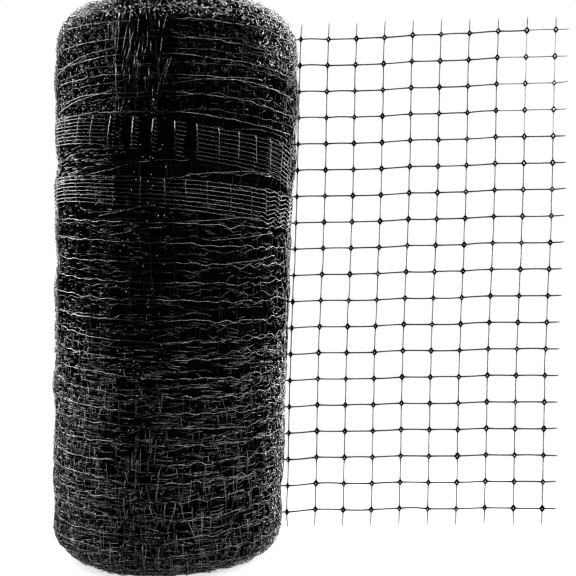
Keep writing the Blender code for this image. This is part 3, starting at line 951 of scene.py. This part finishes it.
def sheet_strands(net, corner, rng, start, end, size, bow):
    """Strands from one (along, z) to another, thicker at the knots that they join."""
    along, z, share = sheet_lines(start, end)
    arch = np.sin(PI * share)
    count = len(along)
    out = rng.normal(0, bow, (count, 1)) * arch
    level = size is LEVEL_SIZE
    moved = z if level else along
    moved += rng.normal(0, bow, (count, 1)) * arch
    line, normal = on_sheet(along, z, out)
    swell, power = LEVEL_SWELL if level else UPRIGHT_SWELL
    ends = np.abs(2 * share - 1) ** power
    thick = (1 + swell * ends) * (1 + rng.normal(0, 0.05, (count, 1)))
    width, depth = size[0] * thick, size[1] * (1 + 0.3 * ends) + 0 * thick
    row, column = np.indices(start[0].shape)
    low, left = SHEEN_LEVELS if level else SHEEN_UPRIGHTS
    pale = ((row >= low) & (column >= left) & (row + 1 - column < ROW_COUNT - left)).ravel()
    # the corner's strands go thinner into their own pale piece, whose paleness is painted sheen
    for part, chosen, scale in ((net, ~pale, 1.0), (corner, pale, SHEEN_THIN)):
        wide, deep = width[chosen] * scale, depth[chosen] * scale
        part.tubes(line[chosen], normal[chosen], wide, deep, STRAND_SIDES, ends=(False, False))


def sheet_stubs(net, rng, start, size, curl=0.0, along=0.0, z=0.0):
    """Cut strand ends that reach past the outermost knots by along and z, each with a closed tip."""
    along, z, share = sheet_lines(start, (start[0] + along, start[1] + z))
    count = len(along)
    z = z + curl * share**2 * rng.uniform(0.2, 1.0, (count, 1))
    out = rng.normal(0, 1.0 * MM, (count, 1)) * share**2
    line, normal = on_sheet(along, z, out)
    thick = 1 + LEVEL_SWELL[0] * (1 - share) ** 6 - 0.35 * share**5
    net.tubes(line, normal, size[0] * thick, size[1] * thick, STRAND_SIDES, ends=(False, True))


# height through the knot, and the share of the full outline
KNOT_BODY = ((-1.0, 0.45), (-0.85, 0.75), (0.0, 1.00), (0.85, 0.75), (1.0, 0.45))
KNOT_HIGHLIGHT = ((0.90, 1.00), (1.05, 1.00), (1.09, 0.60))  # the small pale face on each side of a knot, a painted highlight
HIGHLIGHT_SIZE = (0.90 * MM, 1.25 * MM)
WIDE_HIGHLIGHT_SIZE = (1.20 * MM, 2.00 * MM)
HIGHLIGHT_OFFSET = (-0.20 * MM, -0.15 * MM)


def sheet_knots(net, rng, along, z, rings, outline, lobe=0.12):
    """Oval knots with a waist, where strands cross, or the pale faces on them, which are painted highlights.
    """
    turn = np.arange(8) * TAU / 8
    lobes = 1 + lobe * np.cos(4 * turn)
    size = 1 + rng.normal(0, 0.07, (along.size, 1))
    points = []
    for height, share in rings:
        a = along.reshape(-1, 1) + outline[0] / 2 * share * np.cos(turn) * lobes * size
        h = z.reshape(-1, 1) + outline[1] / 2 * share * np.sin(turn) * lobes * size
        points.append(net_point(a, h, height * KNOT_SIZE[2] / 2))
    points = np.stack(points, axis=1)
    index = np.arange(points.size // 3).reshape(points.shape[:3])
    low, high = index[:, :-1], index[:, 1:]
    faces = [np.stack([low, np.roll(low, -1, 2), np.roll(high, -1, 2), high], axis=-1)]
    faces += [index[:, 0, ::-1], index[:, -1]]
    if rings[0][0] > rings[-1][0]:
        faces = [part[..., ::-1] for part in faces]
    net.add(points, faces)


def make_loose_end():
    rng = default_rng(41)
    grid = along, z = knot_grid()
    net, corner, knots, faces = Strands(), Strands(), Strands(), Strands()
    sheet_strands(net, corner, rng, grid[:, :, :-1], grid[:, :, 1:], LEVEL_SIZE, 0.18 * MM)
    sheet_strands(net, corner, rng, grid[:, :-1], grid[:, 1:], UPRIGHT_SIZE, 0.15 * MM)
    first = SHEEN_LEVELS[0]
    for part, rows, scale in ((net, slice(None, first), 1.0), (corner, slice(first, None), SHEEN_THIN)):
        size = (LEVEL_SIZE[0] * scale, LEVEL_SIZE[1] * scale)
        sheet_stubs(part, rng, grid[:, rows, -1], size, STUB_CURL, along=FREE_STUB)
    sheet_stubs(net, rng, grid[:, :, 0], LEVEL_SIZE, STUB_CURL, along=-WRAPPED_STUB)
    sheet_stubs(net, rng, grid[:, 0], UPRIGHT_SIZE, z=-BOTTOM_STUB)
    sheet_stubs(net, rng, grid[:, -1], UPRIGHT_SIZE, z=CUT_TOP - z[-1])
    sheet_knots(knots, rng, along, z, KNOT_BODY, KNOT_SIZE)
    # each knot gets a pale face on both sides, a painted highlight, wider towards the upper right
    row, column = np.indices(along.shape)
    wide = (row >= WIDE_HIGHLIGHTS[0]) & (column > WIDE_HIGHLIGHTS[1])
    for chosen, outline in ((~wide, HIGHLIGHT_SIZE), (wide, WIDE_HIGHLIGHT_SIZE)):
        for side in (1, -1):
            rings = [(height * side, share) for height, share in KNOT_HIGHLIGHT]
            place = along[chosen] + HIGHLIGHT_OFFSET[0], z[chosen] + HIGHLIGHT_OFFSET[1]
            sheet_knots(faces, rng, *place, rings, outline, 0.0)
    corner.build("loose_end_corner_painted_sheen", "loose_end_corner_painted_sheen")
    knots.build("loose_end_knots", "deep_strands")
    faces.build("loose_end_knot_painted_highlights", "knot_painted_highlights")
    piece = net.build("loose_end_net", "loose_end_strands")
    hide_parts("loose_end")


# ---- the stage
WHITE = (1.0, 1.0, 1.0, 1.0)
CONTACT_PAINTED_SHADOW = (60 * MM, 72 * MM)  # radii between which the floor's glow comes up, under the roll's edge: a painted contact shadow
SOFTBOX_TARGET = (0.0, 0.0, 0.18)
SOFTBOX_DISTANCE = 3.0
SOFTBOXES = (
    # name; azimuth (0 at the camera's side, 90 on the right) and climb, degrees; width, height, m; radiance
    ("softbox_right", 40.5, 28, 3.97, 1.7, 15.0),
    ("softbox_side", 111, 28, 4.3, 1.6, 9.0),
    ("softbox_left", -90, 28, 5.0, 1.6, 13.0),
    ("rim_light_right", 125, -3, 3.0, 1.6, 14.0),
    ("rim_light_left", -120, -3, 3.0, 1.6, 9.0),
    ("softbox_back", 180, 40, 3.6, 1.4, 7.0),
)


def floor_look(name, grey):
    look = Look(name)
    inputs = {"Base Color": (grey, grey, grey, 1.0), "Roughness": 0.9, "Specular IOR Level": 0.0}
    look.feed(look.shader, {**inputs, "Emission Color": WHITE, "Emission Strength": 1.0})
    return look


def plane(name, reach, height, material):
    corners = [(x * reach, y * reach, height) for x, y in ((-1, -1), (1, -1), (1, 1), (-1, 1))]
    mesh = bpy.data.meshes.new(name)
    mesh.from_pydata(corners, [], [(0, 1, 2, 3)])
    mesh.materials.append(bpy.data.materials[material])
    thing = put(name, mesh)
    return thing


def softbox(name, azimuth, climb, width, height, radiance):
    """A soft light facing the roll."""
    a, e = math.radians(azimuth), math.radians(climb)
    back = Vector((math.sin(a) * math.cos(e), -math.cos(a) * math.cos(e), math.sin(e)))
    data = bpy.data.lights.new(name, "AREA")
    data.shape = "RECTANGLE"
    data.size, data.size_y = width, height
    data.energy = radiance * PI * width * height
    light = put(name, data)
    light.location = Vector(SOFTBOX_TARGET) + back * SOFTBOX_DISTANCE
    light.rotation_mode = "QUATERNION"
    light.rotation_quaternion = back.to_track_quat("Z", "Y")
    light.visible_camera = False


def make_stage():
    floor_look("pale_floor", 0.0)
    wide = plane("floor", 6.0, -0.5 * MM, "pale_floor")
    wide.visible_glossy = wide.visible_diffuse = wide.visible_shadow = False
    near = floor_look("pale_floor_near_painted_shadow", 0.05)
    place = near.add("ShaderNodeTexCoord", "Object")
    distance = near.add("ShaderNodeVectorMath", "Value", {0: place}, operation="LENGTH")
    # the near floor's glow is dimmed under the roll's edge, a painted shadow on top of the real one its pale
    # base takes
    near.feed(near.shader, {"Emission Strength": near.remap(distance, *CONTACT_PAINTED_SHADOW, 0.80, 1.0)})
    plane("floor_near", 0.3, 0.0, "pale_floor_near_painted_shadow")
    for values in SOFTBOXES:
        softbox(*values)
    world = bpy.data.worlds.new("studio")
    world.use_nodes = True
    background = world.node_tree.nodes["Background"]
    background.inputs["Color"].default_value = WHITE
    background.inputs["Strength"].default_value = 1.0
    world.cycles_visibility.diffuse = world.cycles_visibility.glossy = False
    scene = bpy.context.scene
    scene.world = world
    scene.view_settings.view_transform = "Standard"
    scene.view_settings.gamma = 0.72


def make_camera():
    data = bpy.data.cameras.new("camera")
    data.sensor_width = 36.0
    data.lens = data.sensor_width / 2 / math.tan(CAMERA_VIEW / 2)
    data.clip_start = 0.02
    camera = put("camera", data)
    camera.location = CAMERA_PLACE
    camera.rotation_euler = (PI / 2, 0, 0)
    bpy.context.scene.camera = camera


make_camera()
make_stage()
make_inner_turns()
make_turns()
make_bands()
make_crossings()
make_crown_spiral()
make_fragments()
make_loose_end()
